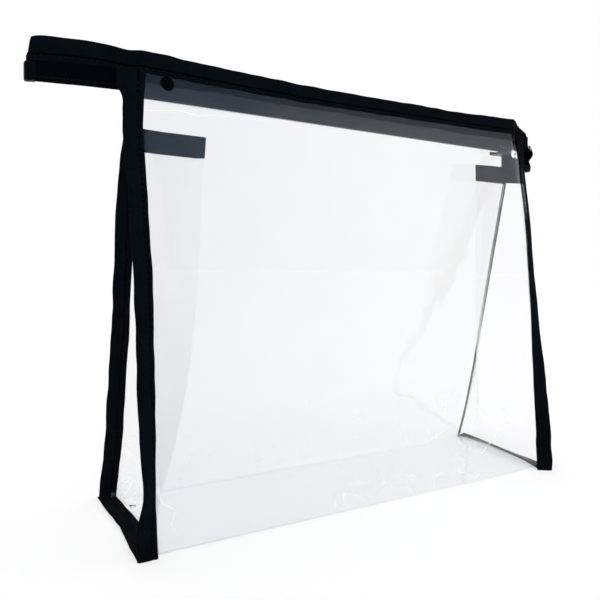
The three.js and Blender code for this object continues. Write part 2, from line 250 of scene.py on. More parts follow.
def grid_solid(grid, thickness):
    """A closed sheet around rows of points: vertices, faces, corner uvs and rim faces, in mm."""
    p = np.array([[tuple(v) for v in row] for row in grid])
    rows, columns = p.shape[:2]
    up = np.gradient(p, axis=0)
    along = np.gradient(p, axis=1)
    normal = np.cross(along, up)
    normal /= np.linalg.norm(normal, axis=2, keepdims=True)
    half = thickness / 2
    layers = [p + normal * half, p - normal * half]
    vertices = np.concatenate([layer.reshape(-1, 3) for layer in layers])
    u = run_lengths(p[rows // 2])
    v = run_lengths(p[:, columns // 2])
    faces, uvs = [], []
    size = rows * columns

    def quad(cells, layered):
        faces.append(tuple(layer * size + r * columns + c for (r, c), layer in zip(cells, layered)))
        uvs.append([(u[c], v[r] + layer * PVC) for (r, c), layer in zip(cells, layered)])

    for r in range(rows - 1):
        for c in range(columns - 1):
            cells = [(r, c), (r, c + 1), (r + 1, c + 1), (r + 1, c)]
            quad(cells, (0, 0, 0, 0))
            quad(cells[::-1], (1, 1, 1, 1))
    first_rim = len(faces)
    border = [(0, c) for c in range(columns)]
    border += [(r, columns - 1) for r in range(1, rows)]
    border += [(rows - 1, c) for c in range(columns - 2, -1, -1)]
    border += [(r, 0) for r in range(rows - 2, 0, -1)]
    for a, b in zip(border, border[1:] + border[:1]):
        quad([b, a, a, b], (0, 0, 1, 1))
    rims = range(first_rim, len(faces))
    return vertices, faces, uvs, rims


def tube(rings):
    """A closed solid through rings of points, capped at both ends."""
    p = np.array([[tuple(v) for v in ring] for ring in rings])
    rows, count = p.shape[:2]
    along = run_lengths(p[:, 0])
    around = run_lengths(np.concatenate([p[rows // 2], p[rows // 2][:1]]))
    vertices = np.concatenate([p.reshape(-1, 3), [p[0].mean(0), p[-1].mean(0)]])
    faces, uvs = [], []
    for r in range(rows - 1):
        for c in range(count):
            n = (c + 1) % count
            near, far = r * count, (r + 1) * count
            faces.append((near + c, near + n, far + n, far + c))
            uvs.append([(along[r], around[c]), (along[r], around[c + 1]),
                        (along[r + 1], around[c + 1]), (along[r + 1], around[c])])
    for row, centre in ((0, rows * count), (rows - 1, rows * count + 1)):
        for c in range(count):
            n = (c + 1) % count
            faces.append((row * count + c, row * count + n, centre))
            uvs.append([(along[row], around[c]), (along[row], around[c + 1]),
                        (along[row], around[c])])
    return vertices, faces, uvs, range(0)


def merged(parts):
    """Several closed solids as one set of vertices, faces and uvs."""
    vertices, faces, uvs, offset = [], [], [], 0
    for part_vertices, part_faces, part_uvs, _ in parts:
        vertices.append(part_vertices)
        faces += [tuple(i + offset for i in face) for face in part_faces]
        uvs += part_uvs
        offset += len(part_vertices)
    return np.concatenate(vertices), faces, uvs, range(0)


def make(name, solid, materials, body=None, stands_for=(), angle=50):
    """Makes a piece from vertices in mm, hangs it on the empty of the body it rides on, and hides
    the CAD parts it stands for.
    """
    vertices, faces, uvs, rims = solid
    mesh = bpy.data.meshes.new(name)
    mesh.from_pydata([tuple(v) for v in np.asarray(vertices) * MM], [], faces)
    layer = mesh.uv_layers.new(name="UVMap")
    layer.data.foreach_set("uv", [x for corners in uvs for uv in corners for x in uv])
    for material in materials:
        mesh.materials.append(material)
    if len(materials) > 1:
        for i in rims:
            mesh.polygons[i].material_index = 1
    shape = bmesh.new()
    shape.from_mesh(mesh)
    bmesh.ops.recalc_face_normals(shape, faces=shape.faces)
    shape.to_mesh(mesh)
    shape.free()
    mesh.shade_smooth()
    mesh.set_sharp_from_angle(angle=math.radians(angle))
    piece = bpy.data.objects.new(name, mesh)
    bpy.context.scene.collection.objects.link(piece)
    if body:
        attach(piece, body)
    if stands_for:
        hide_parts(*stands_for)
    return piece


def apply_modifiers(piece):
    bpy.context.view_layer.update()
    shaped = piece.evaluated_get(bpy.context.evaluated_depsgraph_get())
    old = piece.data
    piece.data = bpy.data.meshes.new_from_object(shaped)
    piece.modifiers.clear()
    bpy.data.meshes.remove(old)


def cut(piece, cutter):
    """Cuts a closed tool out of a piece. The tool is left for the next cut."""
    modifier = piece.modifiers.new("cut", "BOOLEAN")
    modifier.operation = "DIFFERENCE"
    modifier.solver = "EXACT"
    modifier.object = cutter
    apply_modifiers(piece)


# ------------------------------------------------ materials

# Where the painted highlight line lies: a wavy white line across the front sheet.
HIGHLIGHT_LINE_HEIGHT = 0.2149     # of the wavy highlight, in metres, at the middle of the bag
HIGHLIGHT_LINE_SLOPE = 0.034

def node(tree, kind, inputs=None, **settings):
    made = tree.nodes.new(kind)
    for key, value in settings.items():
        setattr(made, key, value)
    for key, value in (inputs or {}).items():
        if isinstance(value, bpy.types.NodeSocket):
            tree.links.new(value, made.inputs[key])
        else:
            made.inputs[key].default_value = value
    return made


def maths(tree, operation, a, b=0.0):
    return node(tree, "ShaderNodeMath", {0: a, 1: b}, operation=operation).outputs[0]


def product(tree, first, *others):
    for other in others:
        first = maths(tree, "MULTIPLY", first, other)
    return first


def distance(tree, a, b):
    return maths(tree, "ABSOLUTE", maths(tree, "SUBTRACT", a, b))


def remap(tree, value, start, end, low, high, **settings):
    """Takes start to low and end to high, and holds the value there beyond them."""
    return node(tree, "ShaderNodeMapRange", {
        "Value": value, "From Min": start, "From Max": end, "To Min": low, "To Max": high,
    }, **settings).outputs[0]


def spread(tree, noise_value, low, high):
    """The middle half of a noise texture's range, stretched from low to high."""
    return remap(tree, noise_value, 0.25, 0.75, low, high)


def xyz(tree, vector):
    return node(tree, "ShaderNodeSeparateXYZ", {0: vector}).outputs


def object_place(tree):
    """Where on the piece, in metres."""
    return node(tree, "ShaderNodeTexCoord").outputs["Object"]


def blank(name):
    material = bpy.data.materials.new(name)
    material.use_nodes = True
    material.node_tree.nodes.clear()
    return material, material.node_tree


def uv_mm(tree):
    """Along and across the cloth, in millimetres."""
    return node(tree, "ShaderNodeUVMap", uv_map="UVMap").outputs[0]


def weave(tree, pitch, turn):
    """Height of a plain weave: threads across and along, one over the other by turns."""
    angle = math.radians(turn)
    turned = node(tree, "ShaderNodeMapping", {
        "Vector": uv_mm(tree),
        "Rotation": (0, 0, angle),
        "Scale": (math.pi / pitch, math.pi / pitch, 1),
    }).outputs[0]
    parts = xyz(tree, turned)
    warp = maths(tree, "SINE", parts[0])
    weft = maths(tree, "SINE", parts[1])
    over = maths(tree, "GREATER_THAN", product(tree, warp, weft), 0.0)
    under = maths(tree, "SUBTRACT", 1.0, over)
    first = product(tree, maths(tree, "ABSOLUTE", warp), over)
    second = product(tree, maths(tree, "ABSOLUTE", weft), under)
    return maths(tree, "ADD", first, second)


def blotches(tree, scale, detail=3.0):
    return node(tree, "ShaderNodeTexNoise", {
        "Vector": object_place(tree), "Scale": scale, "Detail": detail, "Roughness": 0.6,
    }).outputs["Fac"]


def ramp(tree, value, low, high):
    """Two colours, mixed by a value from 0 to 1."""
    made = node(tree, "ShaderNodeValToRGB", {0: value})
    made.color_ramp.elements[0].color = (*low, 1)
    made.color_ramp.elements[1].color = (*high, 1)
    return made.outputs[0]


def fabric(name, pitch, turn, dark, light, rough, depth, sheen, groove_shade_at=None):
    """Woven cloth, darker where its weave dips: painted shade. The groove shade is a line of
    painted shade along the stitches, that far from the raw edge.
    """
    material, tree = blank(name)
    threads = weave(tree, pitch, turn)
    patches = blotches(tree, 90.0)
    fuzz = blotches(tree, 1400.0, 2.0)
    # The colour is darker where the weave dips, painted shade between the threads, and varies at
    # random in blotches and fuzz.
    shade = product(tree, threads, spread(tree, patches, 0.55, 1.15))
    shade = maths(tree, "ADD", shade, spread(tree, fuzz, -0.22, 0.22))
    # Painted shade: the cloth darkens along the line of stitches.
    if groove_shade_at:
        away = distance(tree, xyz(tree, uv_mm(tree))[1], groove_shade_at)
        shade = product(tree, shade, remap(tree, away, 0.15, 0.75, 0.0, 1.0,
                                           interpolation_type="SMOOTHSTEP"))
    height = maths(tree, "ADD", threads, product(tree, fuzz, 0.9))
    bump = node(tree, "ShaderNodeBump", {"Height": height, "Strength": 0.7, "Distance": depth})
    shader = node(tree, "ShaderNodeBsdfPrincipled", {
        "Base Color": ramp(tree, shade, dark, light),
        "Roughness": spread(tree, patches, rough - 0.08, rough + 0.08),
        "Specular IOR Level": 0.02,
        "Specular Tint": (0.45, 0.7, 1.0, 1),
        "Sheen Weight": sheen,
        "Sheen Roughness": 0.35,
        "Sheen Tint": (0.5, 0.66, 1.0, 1),
        "Normal": bump.outputs[0],
    })
    node(tree, "ShaderNodeOutputMaterial", {"Surface": shader.outputs[0]})
    return material


def glossy_black(name, dark, light, rough, wave, gloss, metallic=0.0):
    """A black gloss with gentle waves in it."""
    material, tree = blank(name)
    broad = blotches(tree, 60.0)
    fine = blotches(tree, 900.0, 4.0)
    height = maths(tree, "ADD", broad, product(tree, fine, 0.08))
    bump = node(tree, "ShaderNodeBump", {"Height": height, "Strength": 0.5, "Distance": wave})
    shader = node(tree, "ShaderNodeBsdfPrincipled", {
        "Base Color": ramp(tree, fine, dark, light),
        "Roughness": spread(tree, broad, rough * 0.6, rough * 1.4),
        "Specular IOR Level": gloss,
        "Specular Tint": (0.6, 0.8, 1.0, 1),
        "Metallic": metallic,
        "Normal": bump.outputs[0],
    })
    node(tree, "ShaderNodeOutputMaterial", {"Surface": shader.outputs[0]})
    return material


def scuffs_and_painted_highlight(tree):
    """White marks on the clear sheets, drawn as a white glow: handling marks low down, and a
    painted wavy highlight.
    """
    place = object_place(tree)
    path = node(tree, "ShaderNodeTexNoise", {
        "Vector": place, "Scale": 26.0, "Detail": 1.0, "Distortion": 0.6,
    }).outputs["Fac"]
    line = remap(tree, distance(tree, path, 0.5), 0.0, 0.006, 1.0, 0.0)
    patch = remap(tree, blotches(tree, 15.0, 2.0), 0.5, 0.6, 0.0, 0.8)
    low = remap(tree, xyz(tree, place)[2], 0.030, 0.055, 1.0, 0.0)
    broken = maths(tree, "GREATER_THAN", blotches(tree, 420.0, 1.0), 0.46)
    marks = product(tree, product(tree, line, patch), product(tree, broken, low))
    return maths(tree, "MINIMUM", maths(tree, "ADD", marks, painted_highlight_line(tree, place)), 1.0)


def painted_highlight_line(tree, place):
    """A faint painted highlight: a wavy white line under the zip, towards the left of the front
    sheet.
    """
    parts = xyz(tree, place)
    wave = spread(tree, blotches(tree, 38.0, 1.0), -0.0022, 0.0022)
    level = maths(tree, "ADD", product(tree, parts[0], HIGHLIGHT_LINE_SLOPE), HIGHLIGHT_LINE_HEIGHT)
    away = distance(tree, parts[2], maths(tree, "ADD", level, wave))
    thin = remap(tree, away, 0.00015, 0.0006, 0.9, 0.0)
    left = remap(tree, parts[0], -0.055, -0.095, 0.0, 1.0)
    front = maths(tree, "LESS_THAN", parts[1], 0.0)
    return product(tree, thin, left, front)


def clear_sheet(name, tint, haze, rough, veil, reflection_left, reflection_right):
    """Thin clear plastic: it lets light straight through and mirrors more at shallow angles.

    The veil is what it mirrors face on. Its reflection is tinted from the left colour to the right
    one along x: a painted reflection, where the two differ.
    """
    material, tree = blank(name)
    facing = node(tree, "ShaderNodeLayerWeight", {"Blend": 0.5}).outputs["Facing"]
    mirror = maths(tree, "ADD", product(tree, maths(tree, "POWER", facing, 5.0), 0.5), veil)
    broad = blotches(tree, 28.0, 2.0)
    fine = blotches(tree, 160.0, 4.0)
    height = maths(tree, "ADD", broad, product(tree, fine, 0.05))
    bump = node(tree, "ShaderNodeBump", {"Height": height, "Strength": 0.6, "Distance": 0.002})
    through = node(tree, "ShaderNodeBsdfTransparent", {"Color": (*tint, 1)})
    milky = node(tree, "ShaderNodeBsdfTranslucent", {
        "Color": ramp(tree, fine, (0.80, 0.86, 0.97), (0.95, 0.97, 1.0)),
    })
    clouded = node(tree, "ShaderNodeMixShader", {
        0: spread(tree, fine, haze * 0.5, haze * 1.5), 1: through.outputs[0], 2: milky.outputs[0],
    })
    # A white glow for the handling marks and the painted highlight line.
    marks_and_highlight_glow = node(tree, "ShaderNodeEmission", {"Color": (1, 1, 1, 1), "Strength": 0.97})
    body = node(tree, "ShaderNodeMixShader", {
        0: scuffs_and_painted_highlight(tree), 1: clouded.outputs[0], 2: marks_and_highlight_glow.outputs[0],
    })
    # Painted reflection: the mirror's tint runs from the left colour to the right one along x.
    along = maths(tree, "ADD", xyz(tree, object_place(tree))[0], spread(tree, broad, -0.03, 0.03))
    share = remap(tree, along, -0.12, 0.03, 0.0, 1.0)
    gloss = node(tree, "ShaderNodeBsdfGlossy", {
        "Color": ramp(tree, share, reflection_left, reflection_right),
        "Roughness": spread(tree, fine, rough * 0.6, rough * 1.6),
        "Normal": bump.outputs[0],
    })
    shader = node(tree, "ShaderNodeMixShader", {
        0: mirror, 1: body.outputs[0], 2: gloss.outputs[0],
    })
    node(tree, "ShaderNodeOutputMaterial", {"Surface": shader.outputs[0]})
    return material


def twisted_thread(name, dark, light):
    material, tree = blank(name)
    parts = xyz(tree, uv_mm(tree))
    slant = maths(tree, "ADD", product(tree, parts[0], 9.0), product(tree, parts[1], 6.0))
    plies = maths(tree, "ABSOLUTE", maths(tree, "SINE", slant))
    fuzz = blotches(tree, 1600.0, 2.0)
    bump = node(tree, "ShaderNodeBump", {"Height": plies, "Strength": 0.6, "Distance": 0.00012})
    # The colour is darker in the grooves between the plies: painted shade, mixed with random fuzz.
    shader = node(tree, "ShaderNodeBsdfPrincipled", {
        "Base Color": ramp(tree, product(tree, plies, fuzz), dark, light),
        "Roughness": spread(tree, fuzz, 0.5, 0.75),
        "Specular IOR Level": 0.08,
        "Normal": bump.outputs[0],
    })
    node(tree, "ShaderNodeOutputMaterial", {"Surface": shader.outputs[0]})
    return material


BINDING = fabric("bias_binding", pitch=0.42, turn=45, dark=(0.0002, 0.0004, 0.0007),
                 light=(0.0034, 0.0060, 0.0095), rough=0.85, depth=0.00010, sheen=0.003, groove_shade_at=2.8)
TAPE = fabric("zip_tape_weave", pitch=0.30, turn=12, dark=(0.0002, 0.0005, 0.0010),
              light=(0.0012, 0.0022, 0.0036), rough=0.75, depth=0.00007, sheen=0.001)
HEM = glossy_black("black_pvc", dark=(0.0006, 0.0010, 0.0018), light=(0.002, 0.0028, 0.0048),
                   rough=0.22, wave=0.0015, gloss=0.03)
COIL = glossy_black("nylon_coil", dark=(0.002, 0.0025, 0.004), light=(0.006, 0.007, 0.010),
                    rough=0.38, wave=0.0001, gloss=0.2)
METAL = glossy_black("enamelled_metal", dark=(0.006, 0.006, 0.008), light=(0.02, 0.02, 0.024),
                     rough=0.32, wave=0.0002, gloss=0.5, metallic=0.6)
# Tints of the painted reflection on the clear sheets: darker at the left, brighter at the right,
# and an even white.
PAINTED_DARK_REFLECTION, PAINTED_BRIGHT_REFLECTION, WHITE_TONE = (0.34, 0.47, 0.66), (0.86, 0.90, 1.0), (0.96, 0.97, 1.0)
CLEAR = clear_sheet("clear_pvc", tint=(0.990, 0.9892, 0.9885), haze=0.006, rough=0.035,
                    veil=0.042, reflection_left=PAINTED_DARK_REFLECTION, reflection_right=PAINTED_BRIGHT_REFLECTION)
# A lighter copy of the clear PVC, clearer and less mirroring, for the base and the gussets: painted
# light that lifts the shade there.
CLEAR_BRIGHTENED = clear_sheet("clear_pvc_brightened", tint=(0.9975, 0.997, 0.998), haze=0.003, rough=0.035,
                         veil=0.012, reflection_left=WHITE_TONE, reflection_right=WHITE_TONE)
CUT_EDGE = clear_sheet("clear_pvc_cut_edge", tint=(0.80, 0.86, 0.93), haze=0.35, rough=0.25,
                       veil=0.042, reflection_left=WHITE_TONE, reflection_right=WHITE_TONE)
THREAD = twisted_thread("black_thread", (0.0004, 0.0006, 0.0010), (0.0030, 0.0042, 0.0062))


# ------------------------------------------------ clear wrap: front, base and back

HOLE_X, HOLE_Z, HOLE_RADIUS = -117.7, 225.4, 3.5


def wrap_sections():
    """Where each row of the wrap runs: (face, height) up a side, or (y, z) across the base."""
    up = steps(FOLD_RADIUS, BINDING_FOOT + TOP_LAP, 60)
    flat = HALF_DEPTH - FOLD_RADIUS - PVC / 2
    fold = []
    for a in [math.radians(a) for a in steps(0, 90, 8)][1:-1]:
        fold.append((flat + FOLD_RADIUS * math.cos(a), FOLD_RADIUS * (1 - math.sin(a))))
    rows = [("back", z) for z in reversed(up)] + fold
    rows += [(y, 0.0) for y in steps(flat, -flat, 24)]
    rows += [(-y, z) for y, z in reversed(fold)]
    return rows + [("front", z) for z in up]


def wrap_point(row, share):
    if isinstance(row[0], str):
        face, z = row
        return panel_point(face, share, z)
    y, z = row
    face = "front" if y < 0 else "back"
    inside = clamp(share)
    depth = clamp(abs(y) / HALF_DEPTH)
    left = mix(-HALF_WIDTH, seam_x(-1, face, 0), depth)
    right = mix(HALF_WIDTH, seam_x(1, face, 0), depth)
    x = mix(left, right, inside)
    if share != inside:
        x += SEAM_LAP * (-1 if share < 0 else 1)
    free = math.sin(math.pi * inside) ** 0.5 * math.cos(math.pi / 2 * depth) ** 0.8
    rise = 0.9 + 0.9 * wobble(11, x / 34, y / 22) + 0.35 * wobble(12, x / 13, y / 11)
    return Vector((x, y, PVC / 2 + z + max(rise, 0.0) * free + base_arch(x, y)))


def make_wrap():
    shares = [-0.01] + steps(0, 1, 70) + [1.01]
    grid = [[wrap_point(row, share) for share in shares] for row in wrap_sections()]
    materials = [CLEAR, CUT_EDGE, CLEAR_BRIGHTENED]
    piece = make("clear_wrap", grid_solid(grid, PVC), materials, "bag",
                 ["front_panel", "base_panel", "back_panel"], 40)
    # The base between its folds takes the lighter copy of the clear PVC, painted light that lifts
    # its shade.
    for polygon in piece.data.polygons:
        inside = abs(polygon.center.y) < (HALF_DEPTH - FOLD_RADIUS) * MM
        low = polygon.center.z < 2 * FOLD_RADIUS * MM
        if inside and low and polygon.material_index == materials.index(CLEAR):
            polygon.material_index = materials.index(CLEAR_BRIGHTENED)
    bpy.ops.mesh.primitive_cylinder_add(
        vertices=40, radius=HOLE_RADIUS * MM, depth=8 * MM, rotation=(math.pi / 2, 0, 0),
        location=(HOLE_X * MM, -panel_half(HOLE_X, HOLE_Z) * MM, HOLE_Z * MM))
    tool = bpy.context.object
    tool.data.materials.append(CLEAR)
    cut(piece, tool)
    bpy.data.objects.remove(tool)


# ------------------------------------------------ pleated gussets and their hems

CREASE_REACH = 2.6                    # how far from its crease a leaf starts to round over
PLEAT_SHARE = {-1: 0.895, 1: 0.97}    # depth of the pleat at the hem, against flat leaves
LEAF_STEPS = 9
HEM_THICKNESS = 1.2
RIGHT_HEM_LIFT = 3.6


def gusset_plan(end, z):
    """The gusset in plan: seam lap, front leaf, rounded crease, back leaf, seam lap."""
    front, back = seam_point(end, "front", z), seam_point(end, "back", z)
    half = (back.y - front.y) / 2
    depth = math.sqrt(max(HALF_DEPTH * HALF_DEPTH - half * half, 0.0))
    depth *= mix(1.0, PLEAT_SHARE[end], smooth(z / HEM_TOP))
    middle_x = (front.x + back.x) / 2
    crease = Vector((middle_x - end * depth, wobble(21, z / 60) * 0.8, z))
    line = []
    for face, edge in (("front", front), ("back", back)):
        run = edge - crease
        bulge = Vector((-run.y, run.x, 0)).normalized() * -face_sign(face) * end
        reach = min(CREASE_REACH / run.length, 0.3)
        leaf_points = []
        for t in steps(1, reach, LEAF_STEPS):
            sag = 0.9 + 1.2 * wobble(22 + end, z / 45, t * 2)
            bow = math.sin(math.pi * t) * sag * smooth(z / 60)
            leaf_points.append(crease + run * t + bulge * bow)
        inset = [edge + seam_out(end, face, z) * SEAM_LAP]
        line.append(inset + leaf_points)
    a, b = line[0][-1], line[1][-1]
    bend = [a * (1 - t) ** 2 + crease * 2 * t * (1 - t) + b * t * t for t in steps(0, 1, 5)[1:-1]]
    return line[0] + bend + line[1][::-1]


def gusset_lift(end, point):
    """How far the sheet and hem ride up: over the lifted base, and at the left towards the back."""
    foot = base_arch(point.x, point.y) * clamp(1 - point.z / 30)
    top = RIGHT_HEM_LIFT
    if end < 0:
        top = 3.2 * clamp((point.y + 2) / 14) + (-2.3 + 1.6 * clamp((point.y + 12) / 12))
    return foot + top * smooth((point.z - 120) / 70)


def gusset_rows(end, low, high, count):
    """Rows up the gusset, closer together near its foot."""
    return [gusset_plan(end, root * root) for root in steps(math.sqrt(low), math.sqrt(high), count)]


def make_gusset(name, end):
    rows = gusset_rows(end, 1.6, HEM_FOOT + 2, 40)
    foot, turn = [], []
    for p in rows[0]:
        arch = base_arch(p.x, p.y)
        foot.append(Vector((end * (HALF_WIDTH + SEAM_LAP), p.y * 0.99, 0.9 + arch)))
        turn.append(Vector((mix(p.x, end * HALF_WIDTH, 0.5), p.y * 0.995, 1.0 + arch)))
    rows = [[Vector((p.x, p.y, p.z + gusset_lift(end, p))) for p in row] for row in rows]
    # The gusset sheet takes the lighter copy of the clear PVC, painted light that lifts its shade.
    sheet = make(f"{name}_gusset_sheet", grid_solid([foot, turn] + rows, PVC),
                 [CLEAR_BRIGHTENED, CUT_EDGE], "bag", [f"{name}_gusset"], 40)
    band = []
    for z in steps(HEM_FOOT, HEM_TOP, 8):
        row = []
        for p in gusset_plan(end, z):
            narrow = 1.5 * smooth((p.y + 2) / 12) * (HEM_TOP - z) / HEM_WIDTH
            row.append(Vector((p.x, p.y, z + narrow + gusset_lift(end, p))))
        band.append(row)
    hem = make(f"{name}_gusset_band", grid_solid(band, HEM_THICKNESS), [HEM], "bag",
               [f"{name}_gusset_hem"], 60)


# ------------------------------------------------ fabric strips with stitches

PITCH = 2.8               # from one stitch to the next
STITCH_IN = 2.6           # from the raw edge to the line of stitches
THREAD_RADIUS = 0.27
TAPE_THICKNESS = 0.55
SIDE_THICKNESS, FAR_SIDE_THICKNESS, BASE_THICKNESS, TOP_THICKNESS = 1.7, 1.3, 1.55, 1.35
FLARE = 4.0               # how much wider the front left binding is where it meets the top
FLARE_FROM, FLARE_LENGTH = 212, 8
END_SWING = 0.55          # how far the ends of a base binding turn with the side bindings
SWING_FROM = 18


def strip_profile(width, thickness):
    """Outline across a folded strip: (across, out) pairs round from the raw edge."""
    half = thickness / 2
    side = [(0.0, 0.42), (0.25, 0.72), (0.9, 0.92), (1.8, 0.90), (STITCH_IN, 0.62), (3.3, 0.90),
            (4.0, 1.0), (width * 0.45, 1.0), (width * 0.62, 1.04), (width - 2.2, 1.06),
            (width - 1.1, 0.92), (width - 0.4, 0.6), (width - 0.08, 0.25)]
    outline = [(a, half * h) for a, h in side]
    return outline + [(a, -b) for a, b in reversed(outline)]


def strip_rings(place, stations, width, thickness, seed):
    """Rings of a fabric strip. Its edges wander a little and it puckers between stitches."""
    rings = []
    for s in stations:
        grow = 1 + 0.06 * wobble(seed, s / 14)
        inner = 0.22 * wobble(seed + 1, s / 11)
        outer = 0.28 * wobble(seed + 2, s / 9)
        pucker = math.cos(2 * math.pi * s / PITCH)
        ring = []
        for a, b in strip_profile(width, thickness):
            share = a / width
            near = math.exp(-(((a - STITCH_IN) / 1.3) ** 2))
            swell = grow * (1 - 0.10 * near * pucker)
            ring.append(place(s, a + mix(inner, outer, share), b * swell))
        rings.append(ring)
    return rings


def stitch(place, start, length, across, out):
    """One stitch lying on a strip: it dives into the cloth at both ends."""
    rings = []
    for t, size in ((0.0, 0.45), (0.12, 0.85), (0.35, 1.0), (0.65, 1.0), (0.88, 0.85), (1.0, 0.45)):
        sink = (1 - size) * 0.5
        side = 1 if out > 0 else -1
        ring = []
        for i in range(6):
            turn = i * math.pi / 3
            a = across + THREAD_RADIUS * size * math.cos(turn)
            b = out - side * sink + THREAD_RADIUS * 0.75 * size * math.sin(turn)
            ring.append(place(start + length * t, a, b))
        rings.append(ring)
    return tube(rings)


def stitch_row(place, low, high, thickness):
    """Stitches along both faces of a strip."""
    parts = []
    s = low + 1
    half = thickness / 2 * 0.66
    while s + PITCH < high:
        for out in (half, -half):
            drift = 0.10 * wobble(31, s / 5, out)
            parts.append(stitch(place, s + 0.3, PITCH - 0.75, STITCH_IN + drift, out))
        s += PITCH
    return merged(parts)


def side_place(end, face):
    """Where a side binding lies: s is height, a is outwards from the seam, b is through it."""
    sign = face_sign(face)

    def place(s, a, b):
        out = seam_out(end, face, s)
        normal = Vector((-out.y, out.x, 0))
        if (end, face) == (-1, "front"):
            a += FLARE * clamp((s - FLARE_FROM) / FLARE_LENGTH) ** 2 * (a / SIDE_WIDTH)
        start = seam_point(end, face, s) + out * (GAP + 0.25 * wobble(41 + end, s / 30, sign))
        lean = normal * (0.35 * wobble(43 + end, s / 24, sign) * (a / SIDE_WIDTH))
        point = start + out * a + normal * b + lean
        return Vector((point.x, point.y, s))
    return place


def make_side_binding(name, end, face):
    thickness = FAR_SIDE_THICKNESS if (end, face) == (1, "back") else SIDE_THICKNESS
    place = side_place(end, face)
    low, high = 0.15, BINDING_FOOT + 1.2
    seed = 50 + 3 * end + face_sign(face)
    solid = tube(strip_rings(place, steps(low, high, 228), SIDE_WIDTH, thickness, seed))
    make(f"{name}_{face}_binding_cloth", solid, [BINDING], "bag",
         [f"{name}_{face}_seam_binding"])
    stitches = stitch_row(place, low + 2, high - 3, thickness)
    make(f"{name}_{face}_binding_stitches", stitches, [THREAD], "bag")


def make_base_binding(name, end):
    reach = HALF_DEPTH - 0.3

    def place(s, a, b):
        face = "front" if s < 0 else "back"
        seam = mix(HALF_WIDTH, end * seam_x(end, face, 0), clamp(abs(s) / HALF_DEPTH))
        raised = base_arch(end * HALF_WIDTH, s) * (1 - a / SIDE_WIDTH)
        near_end = smooth((abs(s) - SWING_FROM) / (HALF_DEPTH - SWING_FROM))
        swing = seam_out(end, face, 0).y * a * END_SWING * near_end
        height = 0.95 + b + raised + 0.12 * wobble(47, s / 13, a / 8)
        return Vector((end * (seam + GAP + a), s + swing, height))

    solid = tube(strip_rings(place, steps(-reach, reach, 76), SIDE_WIDTH, BASE_THICKNESS, 60 + end))
    make(f"{name}_base_binding_cloth", solid, [BINDING], "bag",
         [f"{name}_base_seam_binding"])
    stitches = stitch_row(place, -reach + 2, reach - 3, BASE_THICKNESS)
    make(f"{name}_base_binding_stitches", stitches, [THREAD], "bag")


# ------------------------------------------------ the zip strips and their two tails

CREASE = 378.0            # the right tail turns over where x + z comes to this
CREASE_RADIUS = 3.6       # height of the plane the strip turns round, along y
CREASE_FLAT = 0.5         # how full the turn is, against a round one
CREASE_HALF = 2.6         # half the length of strip taken up by the turn
CREASE_SWELLS = [(5.0, -80, 13), (-1.6, -56, 7)]    # (size, where, reach) along the crease
SLOPE = math.sqrt(0.5)
SLOT_X, SLOT_Z, SLOT_RADIUS = (143.6, 149.6), 219.3, 3.4
CAP_FROM, CAP_TO = -3.6, 1.2    # where a cap starts and stops, outwards from the tape's end
CAP_CLOSES = 0.72         # the share along a cap where it starts to close


def fold_over(point):
    """Turns what lies past the right crease over, to hang down behind its own root."""
    past = (point.x + point.z - CREASE) * SLOPE
    along = (point.x - point.z) * SLOPE
    if past <= -CREASE_HALF:
        return point
    radius = CREASE_RADIUS - point.y
    if past < CREASE_HALF:
        turn = math.pi * (past + CREASE_HALF) / (2 * CREASE_HALF)
        down = point.x - point.z
        full = sum(size * math.exp(-(((down - at) / reach) ** 2))
                   for size, at, reach in CREASE_SWELLS)
        across = (radius * CREASE_FLAT + full) * math.sin(turn) - CREASE_HALF
        out = CREASE_RADIUS - radius * math.cos(turn)
    else:
        across = -past
        out = CREASE_RADIUS + radius
    sum_xz = CREASE + across / SLOPE
    difference = along / SLOPE
    return Vector(((sum_xz + difference) / 2, out, (sum_xz - difference) / 2))


def top_place(face):
    """Where a top binding lies: s is along x, a is up from its foot, b is through it."""
    sign = face_sign(face)

    def place(s, a, b):
        foot, top = curve(FOOT_LINE, s), curve(TOP_LINE, s)
        lean = 0.25 * wobble(71 + sign, s / 40)
        slant = 1.7 * (a / BINDING_WIDTH) * smooth((LEFT_END + 12 - s) / 12)
        y = sign * mouth_half(s) + sign * b + lean * (a / BINDING_WIDTH)
        return fold_over(Vector((s + slant, y, foot + a * (top - foot) / BINDING_WIDTH)))
    return place


LEFT_RANGE = (LEFT_END, RIGHT_SPLIT)
RIGHT_RANGE = (RIGHT_SPLIT, RIGHT_END)


def bend(piece, tail):
    """Bakes a strip's placement into its mesh. The fold points it looks up for the tail are not
    used.
    """
    start, end = {
        "left_tail": ((-0.1385, 0, 0.229), (-0.1475, 0, 0.229)),
        "right_tail": ((0.1490, 0.0032, 0.2290), (0.1490, 0.0042, 0.2290)),
    }[tail]
    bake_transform(piece)
    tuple(start)
    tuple(end)


def strip_pair(kind, build, materials, left_nodes, right_nodes):
    """Zip strips in two lengths: the main one with the left tail, and the folded right tail.

    Returns the right tails, which are cut before their placement is baked.
    """
    tails = []
    for face in ("front", "back"):
        main = make(f"{face}_{kind}_main", build(face, *LEFT_RANGE), materials,
                    stands_for=[n.format(face=face) for n in left_nodes])
        bend(main, "left_tail")
        tails.append(make(f"{face}_{kind}_right_tail", build(face, *RIGHT_RANGE), materials,
                          stands_for=[n.format(face=face) for n in right_nodes]))
    return tails


def step_along(low):
    """Stations are closer together where the strip turns over."""
    return 0.5 if low >= RIGHT_SPLIT else 1.0


def binding_solid(face, low, high):
    place = top_place(face)
    stations = steps(low, high, int((high - low) / step_along(low)))
    return tube(strip_rings(place, stations, BINDING_WIDTH, TOP_THICKNESS, 80 + face_sign(face)))


def binding_stitches(face, low, high):
    return stitch_row(top_place(face), low + 0.5, high - 1, TOP_THICKNESS)


